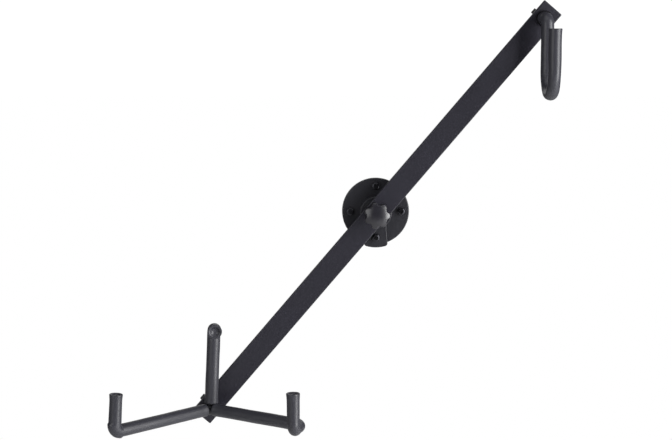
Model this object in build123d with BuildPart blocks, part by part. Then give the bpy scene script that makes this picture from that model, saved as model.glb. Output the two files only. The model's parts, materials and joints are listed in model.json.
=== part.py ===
"""Slanted wall hanger for a musical instrument, in millimetres.

A flat bar swivels on a round wall flange and is clamped there by a lobed knob. A padded J hook hangs at the
bar's upper end and a padded three-pronged cradle stands at its lower end. Each turns on a bolt with a
wing nut behind the bar.

The origin is the centre of the flange's back face. +Z is up, +X is to the right and +Y points into the wall,
so everything stands out from the wall towards -Y. A "depth" is a distance out from the wall.
"""

import os
from math import cos, radians, sin, sqrt

from build123d import *

# Wall flange, the hub on it and the lug below the hub
flange_dia = 76.2
flange_thick = 5.0
flange_edge = 1.2
screw_to_rim = 9.1  # from a screw's centre to the flange's rim
hub_dia = 36.0
hub_length = 12.0
hub_edge = 1.0
lug_thick = 8.0
lug_top_width = 21.0
lug_foot_width = 28.0
lug_past_rim = 2.4
lug_corner = 3.5
lug_edge = 0.8

# Wall screws: pan heads with a cross recess, a plain shank in the plate and a thinner core in the wall
screw_shank_dia = 4.8
screw_core_dia = 3.4
screw_in_wall = 30.0
screw_head_dia = 8.4
screw_head_height = 3.2
screw_head_round = 1.5
cross_length = 4.6
cross_width = 1.0
cross_depth = 1.5

# Pivot stud and the washers either side of the bar
stud_dia = 8.0
stud_in_knob = 13.0
stud_tip_chamfer = 1.0
pivot_washer_dia = 30.0
hub_washer_thick = 1.5
knob_washer_dia = 22.0
knob_washer_thick = 1.6

# Flat bar
bar_length = 609.6
bar_width = 25.4
bar_thick = 4.8
bar_slope = 49.6
bar_edge_round = 1.0
end_hole_inset = 16.0
pivot_hole_offset = 3.0  # from the middle of the bar towards the hook

# Lobed knob and its threaded insert
knob_height = 24.0
knob_dia = 30.0
knob_lobes = 7
lobe_dia = 8.4
lobe_height = 14.5
lobe_valley_dia = 24.4
lobe_valley_round = 1.2
lobe_edge_round = 1.8
knob_dome_radius = 28.0
knob_neck_dia = 17.0
insert_dia = 12.0
insert_length = 17.0
insert_flange_dia = 14.5
insert_flange_thick = 1.5

# Bent rods and the soft sleeves on them
rod_dia = 8.0
sleeve_dia = 14.0
sleeve_overhang = 3.0
elbow_radius = 8.5

# End bolts, washers and wing nuts
bolt_dia = 6.0
end_washer_dia = 18.0
front_washer_thick = 1.6
rear_washer_thick = 1.2
nut_hub_dia = 12.0
nut_hub_height = 8.0
wing_span = 28.0
wing_thick = 6.0
wing_height = 12.0
wing_root_width = 8.0
wing_tip_round = 3.0
bolt_past_nut = 2.0

# J hook
hook_standoff = 18.0
hook_throat = 58.0
hook_drop = 81.4
hook_tip_below_bolt = 10.7
hook_bend_radius = 26.0
hook_collar = 4.0
hook_back_side = 1.5
hook_front_side = 0.5

# Three-pronged cradle
cradle_standoff = 11.5
arm_side_reach = 96.0
arm_front_reach = 93.0
knee_side_reach = 102.6
knee_front_reach = 69.0
knee_radius = 10.0
tip_height = 41.5
left_tip_lean = 3.5
right_tip_lean = 0.5
post_height = 94.0
post_side = 1.4
post_lean = 2.7
peg_length = 22.0
peg_turn = 6.0
peg_bend_radius = 12.0
boss_neck_dia = 10.0

# Clearances
running_clearance = 0.05  # on the radius, between a bore and the shaft that turns in it
screw_clearance = 0.1  # on the radius, between a screw's shank and its hole
washer_clearance = 0.2  # on the radius, between a washer and its bolt
face_clearance = 0.1  # between faces that slide over each other
sleeve_clearance = 0.1  # on the radius, between a rod and its sleeve
meeting_gap = 0.3  # between the ends of neighbouring sleeves

# Depths out from the wall, following the stack of parts on the pivot
hub_depth = flange_thick + hub_length
bar_back = hub_depth + hub_washer_thick + face_clearance
bar_front = bar_back + bar_thick
knob_depth = bar_front + knob_washer_thick + face_clearance
front_washer_depth = bar_front + face_clearance
seat_depth = front_washer_depth + front_washer_thick
hook_depth = bar_front + hook_standoff
cradle_depth = bar_front + cradle_standoff
rear_washer_depth = bar_back - face_clearance - rear_washer_thick
nut_depth = rear_washer_depth - face_clearance
bolt_end_depth = nut_depth - nut_hub_height - bolt_past_nut

# Bolt centres: one near each end of the sloping bar
slope_direction = Vector(cos(radians(bar_slope)), 0, sin(radians(bar_slope)))
hook_bolt_distance = bar_length / 2 - pivot_hole_offset - end_hole_inset
cradle_bolt_distance = bar_length / 2 + pivot_hole_offset - end_hole_inset
hook_bolt = slope_direction * hook_bolt_distance
cradle_bolt = slope_direction * -cradle_bolt_distance

screw_circle_dia = flange_dia - 2 * screw_to_rim
screw_hole_dia = screw_shank_dia + 2 * screw_clearance
boss_dia = sqrt(2) * rod_dia + 2 * post_side  # the boss reaches past the corners where the rods would cross
up = Vector(0, 0, 1)
outward = Vector(0, -1, 0)
sleeve_bore = rod_dia + 2 * sleeve_clearance
sleeve_start = sleeve_dia / 2 + meeting_gap / 2

os.makedirs("parts", exist_ok=True)


def facing(depth, centre=Vector(0, 0, 0)):
    """A plane parallel to the wall at this depth, facing out of it: local x is +X and local y is +Z."""
    return Plane(origin=centre + outward * depth, x_dir=(1, 0, 0), z_dir=(0, -1, 0))


def leaning(degrees):
    """Straight up, leaned to the right by some degrees."""
    return Vector(sin(radians(degrees)), 0, cos(radians(degrees)))


def finish(part, name):
    """Label a piece and write it as its own STEP file."""
    part.label = name
    export_step(part, f"parts/{name}.step")


def washer(name, depth, centre, outer_dia, bore_dia, thick):
    """A flat washer that lies parallel to the wall, with its back face at this depth."""
    with BuildPart() as ring:
        with BuildSketch(facing(depth, centre)):
            Circle(outer_dia / 2)
            Circle(bore_dia / 2, mode=Mode.SUBTRACT)
        extrude(amount=thick)
    finish(ring.part, name)


def wall_screw(centre, head_depth):
    """One pan-head screw: its head sits at this depth, its shank ends at the wall and its core runs on."""
    with BuildPart() as screw:
        with BuildSketch(facing(head_depth, centre)):
            Circle(screw_head_dia / 2)
        extrude(amount=screw_head_height)
        head_rim = screw.edges().filter_by(GeomType.CIRCLE).sort_by(Axis.Y)[0]
        fillet(head_rim, radius=screw_head_round)
        with BuildSketch(facing(head_depth + screw_head_height, centre)):
            Rectangle(cross_length, cross_width)
            Rectangle(cross_width, cross_length)
        extrude(amount=-cross_depth, mode=Mode.SUBTRACT)
        with BuildSketch(facing(head_depth, centre)):
            Circle(screw_shank_dia / 2)
        extrude(amount=-head_depth)
        with BuildSketch(facing(0, centre)):
            Circle(screw_core_dia / 2)
        extrude(amount=-screw_in_wall)
        point = screw.edges().filter_by(GeomType.CIRCLE).sort_by(Axis.Y)[-1]
        chamfer(point, length=screw_core_dia / 3)
    return screw.part


def bent_rod(corners, bends):
    """A round rod that runs through these corners with one bend radius at each inner corner."""
    with BuildPart() as rod:
        with BuildLine() as route:
            FilletPolyline(*corners, radius=bends)
        with BuildSketch(Plane(origin=route.line @ 0, z_dir=route.line % 0)):
            Circle(rod_dia / 2)
        sweep(path=route.line)
    return rod.part


def soft_sleeve(name, corners, bends):
    """A foam tube pulled over a rod: the same bends, cut square at both ends."""
    with BuildPart() as tube:
        with BuildLine() as route:
            FilletPolyline(*corners, radius=bends)
        with BuildSketch(Plane(origin=route.line @ 0, z_dir=route.line % 0)):
            Circle(sleeve_dia / 2)
            Circle(sleeve_bore / 2, mode=Mode.SUBTRACT)
        sweep(path=route.line)
    finish(tube.part, name)


def moved_along(start, towards, distance):
    """The point at this distance from start on the way to another point."""
    return start + (towards - start).normalized() * distance


def wing_nut(name, centre):
    """A wing nut behind the bar: a round hub against the rear washer and two wings that flare to the wall."""
    with BuildPart() as nut:
        with BuildSketch(facing(nut_depth, centre)):
            Circle(nut_hub_dia / 2)
        extrude(amount=-nut_hub_height)
        across_bar = Plane(
            origin=centre + outward * nut_depth,
            x_dir=(-sin(radians(bar_slope)), 0, cos(radians(bar_slope))),
            z_dir=-slope_direction,
        )
        with BuildSketch(across_bar):
            with BuildLine():
                Polyline(
                    (0, 1.0),
                    (nut_hub_dia / 2, 1.0),
                    (wing_span / 2, wing_height - wing_root_width),
                    (wing_span / 2, wing_height),
                    (nut_hub_dia / 2, nut_hub_height),
                    (0, nut_hub_height),
                    close=True,
                )
            make_face()
            mirror(about=Plane.YZ)
        extrude(amount=wing_thick / 2, both=True)
        wing_corners = nut.edges().filter_by(Axis(centre, slope_direction)).filter_by(
            lambda edge: (edge.center() - centre).cross(outward).length > nut_hub_dia / 2 + wing_tip_round
        )
        fillet(wing_corners, radius=wing_tip_round)
        with BuildSketch(facing(nut_depth, centre)):
            Circle(bolt_dia / 2 + running_clearance)
        extrude(amount=-wing_height, mode=Mode.SUBTRACT)
    finish(nut.part, name)


# Round wall flange with four screw holes
with BuildPart() as wall_flange:
    with BuildSketch(facing(0)):
        Circle(flange_dia / 2)
    extrude(amount=flange_thick)
    fillet(wall_flange.edges().filter_by(GeomType.CIRCLE).sort_by(Axis.Y)[0], radius=flange_edge)
    with BuildSketch(facing(0)):
        with PolarLocations(screw_circle_dia / 2, 4):
            Circle(screw_hole_dia / 2)
    extrude(amount=flange_thick, mode=Mode.SUBTRACT)
finish(wall_flange.part, "wall_flange")

# Hub welded to the flange, with a blind bore for the pivot stud
with BuildPart() as hub:
    with BuildSketch(facing(flange_thick)):
        Circle(hub_dia / 2)
    extrude(amount=hub_length)
    fillet(hub.edges().filter_by(GeomType.CIRCLE).sort_by(Axis.Y)[0], radius=hub_edge)
    with BuildSketch(facing(flange_thick)):
        Circle(stud_dia / 2)
    extrude(amount=hub_length, mode=Mode.SUBTRACT)
finish(hub.part, "hub")

# Flared lug that fills the angle between the hub and the flange's lower rim
lug_foot = flange_dia / 2 + lug_past_rim
with BuildPart() as flange_lug:
    with BuildSketch(facing(flange_thick)) as lug_outline:
        with BuildLine():
            Polyline(
                (-lug_top_width / 2, 0),
                (-lug_foot_width / 2, -lug_foot - lug_corner),
                (lug_foot_width / 2, -lug_foot - lug_corner),
                (lug_top_width / 2, 0),
                close=True,
            )
        make_face()
        Circle(lug_foot, mode=Mode.INTERSECT)
        fillet(lug_outline.vertices().group_by(Axis.Y)[0], radius=lug_corner)
        Circle(hub_dia / 2, mode=Mode.SUBTRACT)
        with Locations((0, -screw_circle_dia / 2)):
            Circle(screw_hole_dia / 2, mode=Mode.SUBTRACT)
    extrude(amount=lug_thick)
    lug_rim = flange_lug.faces().sort_by(Axis.Y)[0].outer_wire().edges()
    fillet(lug_rim.filter_by(lambda edge: edge.center().Z < -hub_dia / 2 - lug_edge), radius=lug_edge)
finish(flange_lug.part, "flange_lug")

# Wall screws: three on the flange and a fourth through the lug
screw_radius = screw_circle_dia / 2
flange_screws = [
    wall_screw(Vector(x, 0, z), flange_thick)
    for x, z in ((0, screw_radius), (screw_radius, 0), (-screw_radius, 0))
]
finish(Compound(children=flange_screws), "wall_screws")
finish(wall_screw(Vector(0, 0, -screw_radius), flange_thick + lug_thick), "lug_screw")

# Pivot stud, fixed in the hub
with BuildPart() as pivot_stud:
    with BuildSketch(facing(flange_thick)):
        Circle(stud_dia / 2)
    extrude(amount=knob_depth - flange_thick + stud_in_knob)
    chamfer(pivot_stud.edges().filter_by(GeomType.CIRCLE).sort_by(Axis.Y)[0], length=stud_tip_chamfer)
finish(pivot_stud.part, "pivot_stud")

stud_hole_dia = stud_dia + 2 * running_clearance
stud_washer_bore = stud_dia + 2 * washer_clearance
pivot = Vector(0, 0, 0)
washer("hub_washer", hub_depth, pivot, pivot_washer_dia, stud_washer_bore, hub_washer_thick)
washer("knob_washer", bar_front, pivot, knob_washer_dia, stud_hole_dia, knob_washer_thick)

# Flat bar with a pivot hole near its middle and a bolt hole near each end
bar_plane = Plane(origin=outward * bar_back, x_dir=slope_direction, z_dir=outward)
with BuildPart() as bar:
    with BuildSketch(bar_plane):
        with Locations((-pivot_hole_offset, 0)):
            Rectangle(bar_length, bar_width)
    extrude(amount=bar_thick)
    fillet(bar.edges(), radius=bar_edge_round)
    with BuildSketch(bar_plane):
        Circle(stud_hole_dia / 2)
        with Locations((hook_bolt_distance, 0), (-cradle_bolt_distance, 0)):
            Circle(bolt_dia / 2 + running_clearance)
    extrude(amount=bar_thick, mode=Mode.SUBTRACT)
finish(bar.part, "bar")

# Knob with rounded lobes and a domed front on a short neck, with a pocket for its insert
knob_front = knob_depth + knob_height
with BuildPart() as clamp_knob:
    with BuildSketch(facing(knob_front - lobe_height)) as lobe_outline:
        Circle(lobe_valley_dia / 2)
        with PolarLocations((knob_dia - lobe_dia) / 2, knob_lobes):
            Circle(lobe_dia / 2)
        fillet(lobe_outline.vertices(), radius=lobe_valley_round)
    extrude(amount=lobe_height)
    with Locations(outward * (knob_front - knob_dome_radius)):
        Sphere(knob_dome_radius, mode=Mode.INTERSECT)
    fillet(clamp_knob.faces().sort_by(Axis.Y)[0].edges(), radius=lobe_edge_round)
    fillet(clamp_knob.faces().sort_by(Axis.Y)[-1].edges(), radius=lobe_edge_round)
    with BuildSketch(facing(knob_depth)):
        Circle(knob_neck_dia / 2)
    extrude(amount=knob_height - lobe_height)
    with BuildSketch(facing(knob_depth)):
        Circle(insert_dia / 2)
    extrude(amount=insert_length, mode=Mode.SUBTRACT)
    with BuildSketch(facing(knob_depth)):
        Circle(insert_flange_dia / 2)
    extrude(amount=insert_flange_thick, mode=Mode.SUBTRACT)
finish(clamp_knob.part, "clamp_knob")

# Threaded insert moulded into the knob
with BuildPart() as knob_insert:
    with BuildSketch(facing(knob_depth)):
        Circle(insert_dia / 2)
    extrude(amount=insert_length)
    with BuildSketch(facing(knob_depth)):
        Circle(insert_flange_dia / 2)
    extrude(amount=insert_flange_thick)
    with BuildSketch(facing(knob_depth)):
        Circle(stud_hole_dia / 2)
    extrude(amount=insert_length, mode=Mode.SUBTRACT)
finish(knob_insert.part, "knob_insert")

# J hook: straight out from its bolt, down, round the throat and up again, with its legs a little to the right
hook_seat = hook_bolt + outward * seat_depth
hook_kink = hook_seat + outward * hook_collar
hook_top = hook_bolt + Vector(hook_back_side, 0, 0) + outward * hook_depth
hook_back_corner = hook_top - up * hook_drop
hook_front = hook_bolt + Vector(hook_front_side, 0, 0) + outward * (hook_depth + hook_throat)
hook_front_corner = hook_front - up * hook_drop
hook_tip = hook_front - up * hook_tip_below_bolt
hook_bends = [elbow_radius, elbow_radius, hook_bend_radius, hook_bend_radius]
hook_corners = [hook_seat, hook_kink, hook_top, hook_back_corner, hook_front_corner]


def threaded_end(centre):
    """The thin end of a rod: it passes back through washer, bar, washer and wing nut."""
    with BuildPart() as shank:
        with BuildSketch(facing(bolt_end_depth, centre)):
            Circle(bolt_dia / 2)
        extrude(amount=seat_depth - bolt_end_depth)
        chamfer(shank.edges().filter_by(GeomType.CIRCLE).sort_by(Axis.Y)[-1], length=bolt_dia / 8)
    return shank.part


with BuildPart() as hook_rod:
    add(bent_rod([*hook_corners, hook_tip - up * sleeve_overhang], hook_bends))
    add(threaded_end(hook_bolt))
finish(hook_rod.part, "hook_rod")
soft_sleeve("hook_sleeve", [*hook_corners, hook_tip], hook_bends)

# Cradle: a boss on its bolt carries two arms with upturned tips and a post with a forward peg. The left arm
# runs straight to its elbow; the right arm runs wider and turns forward at a knee.
junction = cradle_bolt + outward * cradle_depth
left_elbow = junction + Vector(-arm_side_reach, -arm_front_reach, 0)
right_elbow = junction + Vector(arm_side_reach, -arm_front_reach, 0)
right_knee = junction + Vector(knee_side_reach, -knee_front_reach, 0)
right_bends = [knee_radius, elbow_radius]
left_tip = left_elbow + leaning(left_tip_lean) * tip_height
right_tip = right_elbow + leaning(-right_tip_lean) * tip_height
post_foot = junction + Vector(post_side, 0, 0)
post_top = post_foot + leaning(post_lean) * post_height
peg_direction = Vector(sin(radians(peg_turn)), -cos(radians(peg_turn)), 0)
peg_end = post_top + peg_direction * peg_length

with BuildPart() as cradle_boss:
    with BuildSketch(facing(seat_depth, cradle_bolt)):
        Circle(boss_neck_dia / 2)
    extrude(amount=cradle_depth - seat_depth)
    with Locations(junction):
        Sphere(boss_dia / 2)
    add(threaded_end(cradle_bolt))
finish(cradle_boss.part, "cradle_boss")


def cradle_rod(name, corners, bends):
    """A rod that starts at the junction and is coped to the round boss there."""
    short_end = moved_along(corners[-1], corners[-2], sleeve_overhang)
    with BuildPart() as rod:
        add(bent_rod([*corners[:-1], short_end], bends))
        with Locations(junction):
            Sphere(boss_dia / 2, mode=Mode.SUBTRACT)
    finish(rod.part, name)


cradle_rod("left_arm", [junction, left_elbow, left_tip], [elbow_radius])
cradle_rod("right_arm", [junction, right_knee, right_elbow, right_tip], right_bends)
cradle_rod("post", [post_foot, post_top, peg_end], [peg_bend_radius])

left_start = moved_along(junction, left_elbow, sleeve_start)
right_start = moved_along(junction, right_knee, sleeve_start)
post_start = moved_along(post_foot, post_top, sleeve_start + sleeve_dia / 2 * sin(radians(post_lean)))
soft_sleeve("left_arm_sleeve", [left_start, left_elbow, left_tip], [elbow_radius])
soft_sleeve("right_arm_sleeve", [right_start, right_knee, right_elbow, right_tip], right_bends)
soft_sleeve("post_sleeve", [post_start, post_top, peg_end], [peg_bend_radius])

# Washers and wing nuts on the two end bolts
bolt_bore = bolt_dia + 2 * washer_clearance
for place, centre in (("hook", hook_bolt), ("cradle", cradle_bolt)):
    washer(f"{place}_front_washer", front_washer_depth, centre, end_washer_dia, bolt_bore, front_washer_thick)
    washer(f"{place}_rear_washer", rear_washer_depth, centre, end_washer_dia, bolt_bore, rear_washer_thick)
    wing_nut(f"{place}_wing_nut", centre)
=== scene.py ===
import json
import math

import bmesh
import bpy
from bpy.props import FloatProperty, FloatVectorProperty, IntProperty, PointerProperty
from bpy.types import Operator, Panel, PropertyGroup
from mathutils import Matrix, Vector, kdtree, noise


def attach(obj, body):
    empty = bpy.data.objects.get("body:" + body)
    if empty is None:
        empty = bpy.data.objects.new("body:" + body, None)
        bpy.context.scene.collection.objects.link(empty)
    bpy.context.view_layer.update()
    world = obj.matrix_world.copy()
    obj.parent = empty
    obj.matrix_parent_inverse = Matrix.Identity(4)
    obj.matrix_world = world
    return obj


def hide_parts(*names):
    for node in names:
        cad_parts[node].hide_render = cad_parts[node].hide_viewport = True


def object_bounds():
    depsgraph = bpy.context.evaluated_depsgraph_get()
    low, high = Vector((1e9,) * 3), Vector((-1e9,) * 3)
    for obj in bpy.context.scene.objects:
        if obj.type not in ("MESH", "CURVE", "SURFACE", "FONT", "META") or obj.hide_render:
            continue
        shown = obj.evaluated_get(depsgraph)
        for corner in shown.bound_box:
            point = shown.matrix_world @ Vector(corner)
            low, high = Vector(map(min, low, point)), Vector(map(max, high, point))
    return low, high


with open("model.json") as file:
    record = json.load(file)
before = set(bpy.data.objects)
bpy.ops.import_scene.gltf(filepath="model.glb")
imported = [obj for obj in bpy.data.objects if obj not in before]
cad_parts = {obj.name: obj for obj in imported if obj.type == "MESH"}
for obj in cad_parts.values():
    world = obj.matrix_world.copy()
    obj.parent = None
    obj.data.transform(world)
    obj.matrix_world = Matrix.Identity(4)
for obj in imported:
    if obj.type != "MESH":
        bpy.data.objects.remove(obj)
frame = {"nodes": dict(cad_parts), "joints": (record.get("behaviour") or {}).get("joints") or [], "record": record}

bl_info = {
    "name": "Slanted Instrument Wall Hanger",
    "version": (1, 0, 0),
    "blender": (4, 5, 0),
    "location": "View3D > Sidebar > Hanger",
    "description": "Foam sleeves, finishes and studio for a slanted wall hanger",
    "category": "Add Mesh",
}

CAD_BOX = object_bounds()
UP = Vector((0, 0, 1))
OUTWARD = Vector((0, -1, 0))  # away from the wall, towards the room
MM = 0.001

JOINT_PLACE = {joint["name"]: Vector(joint["pos_m"]) for joint in frame["joints"]}
PIVOT = Vector((0, 0, 0))
HOOK_BOLT = JOINT_PLACE["hook_swivel"]
CRADLE_BOLT = JOINT_PLACE["cradle_swivel"]


def linear_colour(hex_code):
    """An sRGB hex colour such as "#31303A" as linear red, green and blue."""
    channels = [int(hex_code[i : i + 2], 16) / 255 for i in (1, 3, 5)]
    return tuple(c / 12.92 if c <= 0.04045 else ((c + 0.055) / 1.055) ** 2.4 for c in channels)


def length_value(name, description, millimetres):
    """A length setting, kept in metres."""
    return FloatProperty(
        name=name, description=description, default=millimetres * MM, unit="LENGTH", precision=5
    )


def angle_value(name, description, degrees):
    """An angle setting, kept in radians."""
    return FloatProperty(
        name=name, description=description, default=math.radians(degrees), subtype="ANGLE"
    )


def colour_value(name, description, hex_code):
    """A colour setting."""
    return FloatVectorProperty(
        name=name, description=description, default=linear_colour(hex_code), subtype="COLOR",
        size=3, min=0, max=1
    )


class FoamSettings(PropertyGroup):
    """Sizes of the soft sleeves on the hook and the cradle."""

    diameter: length_value("Diameter", "Outer diameter of the foam tube", 14.0)
    bore: length_value("Bore", "Inner diameter of a cut end", 8.4)
    recess: length_value("Recess", "Depth of the dimple over the rod's end", 1.2)
    rim: length_value("Rim", "Rounding of the cut ends", 0.9)
    flare: length_value("Flare", "How far a cut end swells", 0.4)
    waviness: length_value("Waviness", "How uneven the foam is along its length", 0.3)
    crease: length_value("Crease", "Depth of the creases inside a bend", 0.4)
    left_bulge: length_value("Left bulge", "Swelling outside the left elbow", 1.5)
    right_bulge: length_value("Right bulge", "Swelling outside the right bends", 0.4)
    post_swell: length_value("Post swell", "How much thicker the foam is on the post", 0.5)
    flare_reach: length_value("Flare reach", "How far from a cut end the swelling fades", 4.0)
    wave: length_value("Wave", "Distance over which the unevenness changes", 22.0)
    crease_spacing: length_value("Crease spacing", "Distance between creases", 2.6)
    meeting_gap: length_value("Meeting gap", "Between the ends of neighbouring sleeves", 0.3)
    step: length_value("Step", "Distance between rings of faces", 1.4)
    sides: IntProperty(name="Sides", description="Faces around the tube", default=48, min=12)


class RouteSettings(PropertyGroup):
    """Where the bent rods run, as the CAD rods do."""

    seat: length_value("Seat", "From the bar's face to the start of the hook's foam", 1.7)
    hook_standoff: length_value("Hook standoff", "From the bar's face to the back leg", 18.0)
    hook_throat: length_value("Hook throat", "From the back leg to the front leg", 58.0)
    hook_drop: length_value("Hook drop", "From the bolt down to the bend", 81.4)
    hook_tip: length_value("Hook tip", "From the bolt down to the front leg's end", 10.7)
    hook_collar: length_value("Hook collar", "Straight rod in front of the washer", 4.0)
    hook_back: length_value("Hook back side", "Back leg's offset to the right", 1.5)
    hook_front: length_value("Hook front side", "Front leg's offset to the right", 0.5)
    hook_bend: length_value("Hook bend", "Radius of the throat's two corners", 26.0)
    elbow: length_value("Elbow", "Radius of the tight bends", 8.5)
    cradle_standoff: length_value("Cradle standoff", "From the bar's face to the arms", 11.5)
    arm_side: length_value("Arm side reach", "From the junction to an elbow, sideways", 96.0)
    arm_front: length_value("Arm front reach", "From the junction to an elbow, forwards", 93.0)
    knee_side: length_value("Knee side reach", "From the junction to the right arm's knee, sideways", 102.6)
    knee_front: length_value("Knee front reach", "From the junction to the knee, forwards", 69.0)
    knee: length_value("Knee", "Radius of the knee", 10.0)
    tip: length_value("Tip", "Height of the upturned tips", 41.5)
    post: length_value("Post", "Height of the post", 94.0)
    post_side: length_value("Post side", "From the junction to the post, sideways", 1.4)
    peg: length_value("Peg", "Length of the post's forward peg", 22.0)
    peg_bend: length_value("Peg bend", "Radius of the post's bend", 12.0)
    left_lean: angle_value("Left lean", "Left tip's lean to the right", 3.5)
    right_lean: angle_value("Right lean", "Right tip's lean to the right", -0.5)
    post_lean: angle_value("Post lean", "Post's lean to the right", 2.7)
    peg_turn: angle_value("Peg turn", "Peg's turn to the right of straight out", 6.0)


class ColourSettings(PropertyGroup):
    """Colours of the finishes."""

    bar_coat: colour_value("Bar coat", "Smooth black powder coat on the bar", "#201F28")
    flange_coat: colour_value("Flange coat", "Black powder coat on flange, hub and rods", "#202026")
    foam: colour_value("Foam", "Black closed-cell foam", "#303037")
    phenolic: colour_value("Phenolic", "Polished black phenolic", "#1C1B22")
    black_zinc: colour_value("Black zinc", "Black zinc plating", "#48484D")
    bright_zinc: colour_value("Bright zinc", "Bright zinc plating", "#C8C8C4")
    nylon: colour_value("Nylon", "Black moulded nylon", "#1E1E21")
    fibre: colour_value("Fibre", "Dark friction fibre", "#1F1F22")
    brass: colour_value("Brass", "Turned brass", "#C9A05A")
    backdrop: colour_value("Backdrop", "White studio floor and background", "#FFFFFF")


class StageSettings(PropertyGroup):
    """The camera and the studio."""

    camera_place: FloatVectorProperty(
        name="Camera place", description="Where the camera stands", subtype="TRANSLATION",
        default=(-0.0759, -1.6695, 0.2136)
    )
    yaw: angle_value("Yaw", "Turn to the right", 1.059)
    pitch: angle_value("Pitch", "Tilt up", -7.645)
    field: angle_value("Field", "Horizontal field of view", 25.68)
    drop: length_value("Floor drop", "From the object's lowest point to the floor", 600.0)


# Finishes


def add_node(tree, kind, at=(0, 0), inputs=None, **settings):
    """Add a node, set its properties, and give its inputs values or links from other nodes' outputs."""
    node = tree.nodes.new(kind)
    node.location = at
    for name, value in settings.items():
        setattr(node, name, value)
    for key, value in (inputs or {}).items():
        socket = node.inputs[key]
        if isinstance(value, bpy.types.NodeSocket):
            tree.links.new(value, socket)
        else:
            socket.default_value = value
    return node


def start_material(name):
    """An empty node material with a Principled shader: returns the material, its tree and the shader."""
    material = bpy.data.materials.new(name)
    material.use_nodes = True
    tree = material.node_tree
    tree.nodes.clear()
    shader = add_node(tree, "ShaderNodeBsdfPrincipled", (300, 0))
    output = add_node(tree, "ShaderNodeOutputMaterial", (600, 0))
    tree.links.new(shader.outputs["BSDF"], output.inputs["Surface"])
    return material, tree, shader


def per_metre(millimetres):
    """A texture scale whose features are about this many millimetres apart."""
    return 1 / (millimetres * MM)


def shade(colour, factor):
    """A linear colour made darker or lighter, with alpha."""
    return (*[min(1.0, channel * factor) for channel in colour], 1.0)


def coated_steel(name, colour, peel_mm, roughness):
    """Powder-coated steel: baked polyester powder with fine orange peel, a fine grain and dust."""
    material, tree, shader = start_material(name)
    place = add_node(tree, "ShaderNodeTexCoord", (-1100, 0)).outputs["Object"]
    peel = add_node(
        tree, "ShaderNodeTexNoise", (-850, -250),
        {"Vector": place, "Scale": per_metre(peel_mm), "Detail": 2.0, "Roughness": 0.55}
    )
    grain = add_node(
        tree, "ShaderNodeTexNoise", (-850, -450),
        {"Vector": place, "Scale": per_metre(0.45), "Detail": 1.0}
    )
    cloud = add_node(
        tree, "ShaderNodeTexNoise", (-850, 250),
        {"Vector": place, "Scale": per_metre(34), "Detail": 3.0, "Roughness": 0.6}
    )
    tone = add_node(
        tree, "ShaderNodeMix", (-500, 250),
        {"Factor": cloud.outputs["Fac"], "A": shade(colour, 0.86), "B": shade(colour, 1.16)},
        data_type="RGBA"
    )
    tree.links.new(tone.outputs["Result"], shader.inputs["Base Color"])
    gloss = add_node(
        tree, "ShaderNodeMapRange", (-500, 0),
        {"Value": grain.outputs["Fac"], "To Min": roughness - 0.06, "To Max": roughness + 0.08}
    )
    tree.links.new(gloss.outputs["Result"], shader.inputs["Roughness"])
    fine = add_node(
        tree, "ShaderNodeBump", (-250, -450),
        {"Height": grain.outputs["Fac"], "Strength": 0.12, "Distance": 0.00012}
    )
    skin = add_node(
        tree, "ShaderNodeBump", (0, -300),
        {
            "Height": peel.outputs["Fac"], "Strength": 0.35, "Distance": 0.00022,
            "Normal": fine.outputs["Normal"]
        }
    )
    tree.links.new(skin.outputs["Normal"], shader.inputs["Normal"])
    return material


def closed_cell_foam(name, colour):
    """Nitrile foam tube: closed cells under a thin smooth skin, which takes a soft broad highlight."""
    material, tree, shader = start_material(name)
    place = add_node(tree, "ShaderNodeTexCoord", (-1100, 0)).outputs["Object"]
    cells = add_node(
        tree, "ShaderNodeTexVoronoi", (-850, -250), {"Vector": place, "Scale": per_metre(0.9)}
    )
    skin = add_node(
        tree, "ShaderNodeTexNoise", (-850, -500),
        {"Vector": place, "Scale": per_metre(2.6), "Detail": 4.0, "Roughness": 0.6}
    )
    rub = add_node(
        tree, "ShaderNodeTexNoise", (-850, 250),
        {"Vector": place, "Scale": per_metre(14), "Detail": 4.0, "Roughness": 0.62}
    )
    tone = add_node(
        tree, "ShaderNodeMix", (-500, 250),
        {"Factor": rub.outputs["Fac"], "A": shade(colour, 0.82), "B": shade(colour, 1.2)},
        data_type="RGBA"
    )
    tree.links.new(tone.outputs["Result"], shader.inputs["Base Color"])
    gloss = add_node(
        tree, "ShaderNodeMapRange", (-500, 0),
        {"Value": rub.outputs["Fac"], "To Min": 0.46, "To Max": 0.38}
    )
    tree.links.new(gloss.outputs["Result"], shader.inputs["Roughness"])
    pores = add_node(
        tree, "ShaderNodeBump", (-250, -400),
        {"Height": cells.outputs["Distance"], "Strength": 0.12, "Distance": 0.0002}
    )
    lumps = add_node(
        tree, "ShaderNodeBump", (0, -300),
        {
            "Height": skin.outputs["Fac"], "Strength": 0.15, "Distance": 0.0003,
            "Normal": pores.outputs["Normal"]
        }
    )
    tree.links.new(lumps.outputs["Normal"], shader.inputs["Normal"])
    return material


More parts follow.
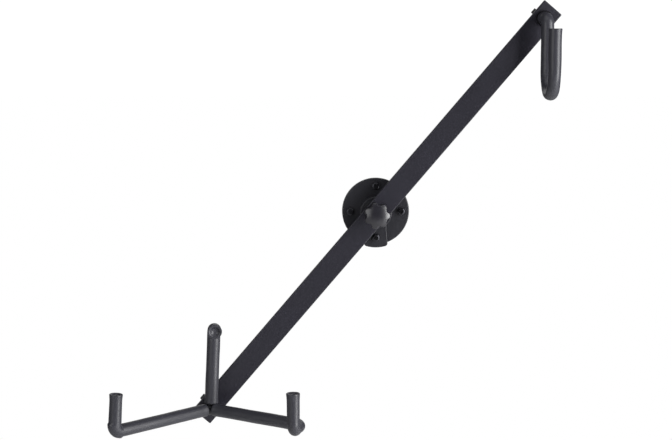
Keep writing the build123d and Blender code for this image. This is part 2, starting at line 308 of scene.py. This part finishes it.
def polished_phenolic(name, colour):
    """Compression-moulded phenolic: a hard glassy skin with hairline rubbing."""
    material, tree, shader = start_material(name)
    place = add_node(tree, "ShaderNodeTexCoord", (-1100, 0)).outputs["Object"]
    rub = add_node(
        tree, "ShaderNodeTexNoise", (-850, 0),
        {"Vector": place, "Scale": per_metre(3.0), "Detail": 5.0, "Roughness": 0.65}
    )
    tone = add_node(
        tree, "ShaderNodeMix", (-500, 250),
        {"Factor": rub.outputs["Fac"], "A": shade(colour, 0.9), "B": shade(colour, 1.15)},
        data_type="RGBA"
    )
    tree.links.new(tone.outputs["Result"], shader.inputs["Base Color"])
    gloss = add_node(
        tree, "ShaderNodeMapRange", (-500, 0),
        {"Value": rub.outputs["Fac"], "To Min": 0.26, "To Max": 0.36}
    )
    tree.links.new(gloss.outputs["Result"], shader.inputs["Roughness"])
    ripple = add_node(
        tree, "ShaderNodeBump", (0, -300),
        {"Height": rub.outputs["Fac"], "Strength": 0.05, "Distance": 0.0002}
    )
    tree.links.new(ripple.outputs["Normal"], shader.inputs["Normal"])
    shader.inputs["IOR"].default_value = 1.6
    return material


def plated_metal(name, colour, roughness, grit_mm):
    """Plated or turned metal: fine grit marks from tumbling, with patches where the plating is thinner."""
    material, tree, shader = start_material(name)
    place = add_node(tree, "ShaderNodeTexCoord", (-1100, 0)).outputs["Object"]
    grit = add_node(
        tree, "ShaderNodeTexNoise", (-850, -250),
        {"Vector": place, "Scale": per_metre(grit_mm), "Detail": 3.0}
    )
    patch = add_node(
        tree, "ShaderNodeTexNoise", (-850, 250),
        {"Vector": place, "Scale": per_metre(5), "Detail": 3.0}
    )
    tone = add_node(
        tree, "ShaderNodeMix", (-500, 250),
        {"Factor": patch.outputs["Fac"], "A": shade(colour, 0.75), "B": shade(colour, 1.15)},
        data_type="RGBA"
    )
    tree.links.new(tone.outputs["Result"], shader.inputs["Base Color"])
    gloss = add_node(
        tree, "ShaderNodeMapRange", (-500, 0),
        {"Value": grit.outputs["Fac"], "To Min": roughness - 0.08, "To Max": roughness + 0.1}
    )
    tree.links.new(gloss.outputs["Result"], shader.inputs["Roughness"])
    marks = add_node(
        tree, "ShaderNodeBump", (0, -300),
        {"Height": grit.outputs["Fac"], "Strength": 0.15, "Distance": 0.0001}
    )
    tree.links.new(marks.outputs["Normal"], shader.inputs["Normal"])
    shader.inputs["Metallic"].default_value = 1.0
    return material


def moulded_plastic(name, colour, texture_mm, roughness):
    """Injection-moulded nylon or pressed fibre: a spark-eroded texture with cloudy gloss."""
    material, tree, shader = start_material(name)
    place = add_node(tree, "ShaderNodeTexCoord", (-1100, 0)).outputs["Object"]
    texture = add_node(
        tree, "ShaderNodeTexNoise", (-850, -250),
        {"Vector": place, "Scale": per_metre(texture_mm), "Detail": 3.0}
    )
    cloud = add_node(
        tree, "ShaderNodeTexNoise", (-850, 250),
        {"Vector": place, "Scale": per_metre(8), "Detail": 2.0}
    )
    tone = add_node(
        tree, "ShaderNodeMix", (-500, 250),
        {"Factor": cloud.outputs["Fac"], "A": shade(colour, 0.8), "B": shade(colour, 1.2)},
        data_type="RGBA"
    )
    tree.links.new(tone.outputs["Result"], shader.inputs["Base Color"])
    gloss = add_node(
        tree, "ShaderNodeMapRange", (-500, 0),
        {"Value": cloud.outputs["Fac"], "To Min": roughness - 0.05, "To Max": roughness + 0.08}
    )
    tree.links.new(gloss.outputs["Result"], shader.inputs["Roughness"])
    spark = add_node(
        tree, "ShaderNodeBump", (0, -300),
        {"Height": texture.outputs["Fac"], "Strength": 0.3, "Distance": 0.00015}
    )
    tree.links.new(spark.outputs["Normal"], shader.inputs["Normal"])
    return material


def finish_for(slot):
    """The material for one of the record's slots, made the first time it is asked for."""
    colours = bpy.context.scene.hanger_colours
    name, maker, *settings = {
        "powder_coat": ("powder_coated_steel", coated_steel, colours.flange_coat, 1.6, 0.42),
        "bar_coat": ("smooth_powder_coated_steel", coated_steel, colours.bar_coat, 2.2, 0.4),
        "foam": ("nitrile_foam", closed_cell_foam, colours.foam),
        "knob": ("polished_phenolic", polished_phenolic, colours.phenolic),
        "wing_nut_plastic": ("moulded_nylon", moulded_plastic, colours.nylon, 0.5, 0.42),
        "black_zinc": ("black_zinc_plated_steel", plated_metal, colours.black_zinc, 0.3, 0.6),
        "bright_zinc": ("bright_zinc_plated_steel", plated_metal, colours.bright_zinc, 0.3, 0.6),
        "fibre": ("pressed_fibre", moulded_plastic, colours.fibre, 0.8, 0.7),
        "brass": ("turned_brass", plated_metal, colours.brass, 0.3, 0.5),
    }[slot]
    return bpy.data.materials.get(name) or maker(name, *settings)


# Mesh helpers


def made_of_kind(result, kind):
    """The elements of one kind in a bmesh operator's result."""
    found = result.get("geom_last") or result.get("geom")
    return [element for element in found if isinstance(element, kind)]


def make_piece(name, mesh, body, slot):
    """Turn a bmesh into an object that rides on a body and takes its finish from a slot."""
    data = bpy.data.meshes.new(name)
    bmesh.ops.recalc_face_normals(mesh, faces=mesh.faces)
    mesh.to_mesh(data)
    mesh.free()
    for polygon in data.polygons:
        polygon.use_smooth = True
    piece = bpy.data.objects.new(name, data)
    bpy.context.scene.collection.objects.link(piece)
    data.materials.append(finish_for(slot))
    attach(piece, body)
    return piece


def bend_of(before, corner, after, radius):
    """A tangent arc at a corner: where it starts and ends, its centre, axis and angle."""
    inward = (corner - before).normalized()
    onward = (after - corner).normalized()
    angle = inward.angle(onward)
    reach = radius * math.tan(angle / 2)
    axis = inward.cross(onward).normalized()
    start = corner - inward * reach
    centre = start + axis.cross(inward).normalized() * radius
    return start, corner + onward * reach, centre, axis, angle


def run_tube(mesh, corners, bends, radius, sides, step):
    """Sweep a ring through the corners by extruding the runs and spinning the bends; returns the route."""
    towards = (corners[1] - corners[0]).normalized()
    place = Matrix.Translation(corners[0]) @ towards.to_track_quat("Z", "Y").to_matrix().to_4x4()
    bmesh.ops.create_circle(mesh, cap_ends=False, radius=radius, segments=sides, matrix=place)
    ring = mesh.edges[:]
    route = [(corners[0].copy(), towards.copy(), None)]
    here = corners[0].copy()

    def run_to(target, ring, here):
        """Extrude the ring along a straight run in even steps."""
        count = max(1, round((target - here).length / step))
        move = (target - here) / count
        for _ in range(count):
            grown = bmesh.ops.extrude_edge_only(mesh, edges=ring)
            ring = made_of_kind(grown, bmesh.types.BMEdge)
            verts = made_of_kind(grown, bmesh.types.BMVert)
            bmesh.ops.translate(mesh, vec=move, verts=verts)
            moved = set(verts)
            ring = [edge for edge in ring if moved.issuperset(edge.verts)]
            here = here + move
            route.append((here.copy(), move.normalized(), None))
        return ring, here

    for before, corner, after, radius_of_bend in zip(corners, corners[1:], corners[2:], bends):
        start, end, centre, axis, angle = bend_of(before, corner, after, radius_of_bend)
        ring, here = run_to(start, ring, here)
        count = max(8, round(radius_of_bend * angle / step * 1.4))
        verts = list({vert for edge in ring for vert in edge.verts})
        spun = bmesh.ops.spin(
            mesh, geom=ring + verts, cent=centre, axis=axis, angle=angle, steps=count, use_merge=False
        )
        ring = made_of_kind(spun, bmesh.types.BMEdge)
        arm = start - centre
        for index in range(1, count + 1):
            turned = Matrix.Rotation(angle * index / count, 3, axis) @ arm
            route.append((centre + turned, axis.cross(turned).normalized(), -turned.normalized()))
        here = end
    ring, here = run_to(corners[-1], ring, here)
    return route, ring


def cut_end(mesh, loop_edges, inward, wall, recess, rim):
    """Close a tube's end as a cut foam tube: a flat rim round a shallow dimple over the rod's end."""
    made = bmesh.ops.edgeloop_fill(mesh, edges=loop_edges)
    face = made["faces"][0]
    bmesh.ops.inset_region(mesh, faces=[face], thickness=rim * 0.5, use_even_offset=True)
    bmesh.ops.inset_region(mesh, faces=[face], thickness=wall - rim * 0.5, use_even_offset=True)
    grown = bmesh.ops.extrude_face_region(mesh, geom=[face])
    verts = made_of_kind(grown, bmesh.types.BMVert)
    if face.is_valid:
        bmesh.ops.delete(mesh, geom=[face], context="FACES_ONLY")
    bmesh.ops.translate(mesh, vec=inward * recess, verts=verts)


# Pieces


class HANGER_OT_foam_sleeves(Operator):
    """Make the soft sleeves on the hook and on the cradle's three prongs"""

    bl_idname = "hanger.foam_sleeves"
    bl_label = "Foam Sleeves"

    def execute(self, context):
        foam = context.scene.hanger_foam
        at = context.scene.hanger_route
        side = Vector((1, 0, 0))

        def leaning(angle):
            return Vector((math.sin(angle), 0, math.cos(angle)))

        seat = HOOK_BOLT + OUTWARD * at.seat
        back = HOOK_BOLT + side * at.hook_back + OUTWARD * at.hook_standoff
        front = HOOK_BOLT + side * at.hook_front + OUTWARD * (at.hook_standoff + at.hook_throat)
        hook_line = [
            seat,
            seat + OUTWARD * at.hook_collar,
            back,
            back - UP * at.hook_drop,
            front - UP * at.hook_drop,
            front - UP * at.hook_tip,
        ]
        tight = at.elbow
        hook_bends = [tight, tight, at.hook_bend, at.hook_bend]
        self.sleeve("hook_foam", "hook_sleeve", "hook_body", hook_line, hook_bends, foam)

        junction = CRADLE_BOLT + OUTWARD * at.cradle_standoff
        start = (foam.diameter + foam.meeting_gap) / 2
        post_foot = junction + side * at.post_side
        post_up = leaning(at.post_lean)
        post_top = post_foot + post_up * at.post
        peg = Vector((math.sin(at.peg_turn), -math.cos(at.peg_turn), 0))
        post_line = [post_foot + post_up * (start + foam.meeting_gap), post_top, post_top + peg * at.peg]
        self.sleeve(
            "post_foam", "post_sleeve", "cradle_body", post_line, [at.peg_bend], foam, swell=foam.post_swell
        )

        left_elbow = junction + side * -at.arm_side + OUTWARD * at.arm_front
        left_start = junction + (left_elbow - junction).normalized() * start
        left_line = [left_start, left_elbow, left_elbow + leaning(at.left_lean) * at.tip]
        self.sleeve(
            "left_arm_foam", "left_arm_sleeve", "cradle_body", left_line, [tight], foam, bulge=foam.left_bulge
        )

        right_knee = junction + side * at.knee_side + OUTWARD * at.knee_front
        right_elbow = junction + side * at.arm_side + OUTWARD * at.arm_front
        right_start = junction + (right_knee - junction).normalized() * start
        right_line = [right_start, right_knee, right_elbow, right_elbow + leaning(at.right_lean) * at.tip]
        right_bends = [at.knee, tight]
        self.sleeve(
            "right_arm_foam", "right_arm_sleeve", "cradle_body", right_line, right_bends, foam,
            bulge=foam.right_bulge
        )
        return {"FINISHED"}

    def sleeve(self, name, node, body, line, bends, foam, bulge=0.0, swell=0.0):
        """One foam sleeve that stands for its plain CAD solid."""
        mesh = bmesh.new()
        radius = foam.diameter / 2
        route, last_ring = run_tube(mesh, line, bends, radius, foam.sides, foam.step)
        first_ring = [edge for edge in mesh.edges if edge.is_boundary and edge not in set(last_ring)]
        self.shape(mesh, route, foam, bulge, swell)
        wall = (foam.diameter - foam.bore) / 2
        cut_end(mesh, first_ring, route[0][1], wall, foam.recess, foam.rim)
        cut_end(mesh, last_ring, -route[-1][1], wall, foam.recess, foam.rim)
        rims = [edge for edge in set(first_ring + last_ring) if edge.is_valid]
        bmesh.ops.bevel(
            mesh, geom=rims, offset=foam.rim * 0.45, offset_type="OFFSET", segments=3, profile=0.5,
            affect="EDGES", material=-1, clamp_overlap=True
        )
        piece = make_piece(name, mesh, body, "foam")
        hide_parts(node)

    def shape(self, mesh, route, foam, bulge, swell):
        """Swell the cut ends, crease the inside of the bends and make the tube slightly uneven."""
        tree = kdtree.KDTree(len(route))
        travelled = [0.0]
        for index, (point, _, _) in enumerate(route):
            tree.insert(point, index)
            if index:
                travelled.append(travelled[-1] + (point - route[index - 1][0]).length)
        tree.balance()
        total = travelled[-1]
        for vert in mesh.verts:
            _, index, _ = tree.find(vert.co)
            point, along, towards_centre = route[index]
            away = vert.co - point
            away -= along * away.dot(along)
            spoke = away.normalized()
            from_end = min(travelled[index], total - travelled[index])
            grow = swell + foam.flare * math.exp(-((from_end / foam.flare_reach) ** 2))
            grow += foam.waviness * noise.noise(vert.co / foam.wave)
            if towards_centre:
                inside = max(0.0, spoke.dot(towards_centre))
                outside = max(0.0, -spoke.dot(towards_centre))
                ripple = 0.5 + 0.5 * math.cos(travelled[index] / foam.crease_spacing * math.tau)
                grow -= foam.crease * inside**2 * ripple
                grow += bulge * outside**3
            vert.co += spoke * grow


class HANGER_OT_finishes(Operator):
    """Give every CAD piece that still shows the finish of its slot"""

    bl_idname = "hanger.finishes"
    bl_label = "Finishes"

    def execute(self, context):
        for entry in frame["record"]["subparts"]:
            node = frame["nodes"][entry["node"]]
            finish = finish_for(entry["material_slot"])
            node.data.materials.clear()
            node.data.materials.append(finish)
        return {"FINISHED"}


class HANGER_OT_stage(Operator):
    """Set the camera, the white floor and the studio lights"""

    bl_idname = "hanger.stage"
    bl_label = "Stage"

    def execute(self, context):
        settings = context.scene.hanger_stage
        self.camera(context, settings)
        self.backdrop(context, settings)
        self.lights(context)
        context.scene.view_settings.view_transform = "Standard"
        context.scene.view_settings.look = "None"
        return {"FINISHED"}

    def camera(self, context, settings):
        """The camera stands a little above and to the left, and looks slightly down."""
        data = bpy.data.cameras.new("camera")
        data.sensor_width = 36.0
        data.angle_x = settings.field
        data.clip_end = 50
        camera = bpy.data.objects.new("camera", data)
        camera.location = settings.camera_place
        camera.rotation_euler = (math.radians(90) + settings.pitch, 0, -settings.yaw)
        context.scene.collection.objects.link(camera)
        context.scene.camera = camera

    def backdrop(self, context, settings):
        """A wide white floor under a white sky; the sky lights the object less than it shows."""
        colour = (*context.scene.hanger_colours.backdrop, 1)
        mesh = bmesh.new()
        low = CAD_BOX[0][2] - settings.drop
        place = Matrix.Translation((0, 0, low))
        bmesh.ops.create_grid(mesh, x_segments=1, y_segments=1, size=20, matrix=place)
        data = bpy.data.meshes.new("floor")
        mesh.to_mesh(data)
        mesh.free()
        floor = bpy.data.objects.new("floor", data)
        context.scene.collection.objects.link(floor)
        material = bpy.data.materials.new("studio_floor")
        material.use_nodes = True
        tree = material.node_tree
        tree.nodes.clear()
        paper = add_node(tree, "ShaderNodeBsdfDiffuse", (0, 0), {"Color": colour})
        glow = add_node(tree, "ShaderNodeEmission", (0, -150), {"Color": colour, "Strength": 1.0})
        rays = add_node(tree, "ShaderNodeLightPath", (-200, 200))
        mixed = add_node(
            tree, "ShaderNodeMixShader", (200, 0),
            {0: rays.outputs["Is Camera Ray"], 1: paper.outputs["BSDF"], 2: glow.outputs["Emission"]}
        )
        add_node(tree, "ShaderNodeOutputMaterial", (400, 0), {"Surface": mixed.outputs["Shader"]})
        data.materials.append(material)
        world = bpy.data.worlds.new("studio")
        context.scene.world = world
        world.use_nodes = True
        tree = world.node_tree
        tree.nodes.clear()
        rays = add_node(tree, "ShaderNodeLightPath", (-400, 200))
        level = add_node(
            tree, "ShaderNodeMapRange", (-200, 0),
            {"Value": rays.outputs["Is Camera Ray"], "To Min": 0.08, "To Max": 1.05}
        )
        sky = add_node(
            tree, "ShaderNodeBackground", (0, 0), {"Color": colour, "Strength": level.outputs["Result"]}
        )
        add_node(tree, "ShaderNodeOutputWorld", (200, 0), {"Surface": sky.outputs["Background"]})

    def lights(self, context):
        """A strong softbox from the right, a dimmer one from the left, and one overhead."""
        for name, place, size, power in (
            ("right_softbox", (1.72, -1.07, 0.1), (0.8, 2.6), 84),
            ("left_softbox", (-1.45, -1.45, 0.4), (1.0, 1.6), 14),
            ("top_softbox", (-0.3, -0.6, 1.9), (1.8, 1.0), 9),
            ("back_softbox", (0.3, 1.8, 0.6), (1.8, 1.2), 5),
        ):
            data = bpy.data.lights.new(name, "AREA")
            data.shape = "RECTANGLE"
            data.size, data.size_y = size
            data.energy = power
            lamp = bpy.data.objects.new(name, data)
            lamp.location = place
            lamp.rotation_euler = (PIVOT - Vector(place)).to_track_quat("-Z", "Y").to_euler()
            context.scene.collection.objects.link(lamp)


class HANGER_PT_panel(Panel):
    """Buttons for each piece and for the stage"""

    bl_label = "Wall Hanger"
    bl_idname = "HANGER_PT_panel"
    bl_space_type = "VIEW_3D"
    bl_region_type = "UI"
    bl_category = "Hanger"

    def draw(self, context):
        for operator in PIECE_OPERATORS:
            self.layout.operator(operator.bl_idname)


SETTINGS = (
    ("hanger_foam", FoamSettings),
    ("hanger_route", RouteSettings),
    ("hanger_colours", ColourSettings),
    ("hanger_stage", StageSettings),
)
PIECE_OPERATORS = (
    HANGER_OT_stage,
    HANGER_OT_foam_sleeves,
    HANGER_OT_finishes,
)


def register():
    for name, group in SETTINGS:
        bpy.utils.register_class(group)
        setattr(bpy.types.Scene, name, PointerProperty(type=group))
    for item in (*PIECE_OPERATORS, HANGER_PT_panel):
        bpy.utils.register_class(item)


def unregister():
    for item in reversed((*PIECE_OPERATORS, HANGER_PT_panel)):
        bpy.utils.unregister_class(item)
    for name, group in reversed(SETTINGS):
        delattr(bpy.types.Scene, name)
        bpy.utils.unregister_class(group)


def main():
    """Build everything on the frame."""
    register()
    bpy.ops.hanger.stage()
    bpy.ops.hanger.foam_sleeves()
    bpy.ops.hanger.finishes()


if __name__ == "__main__":
    main()
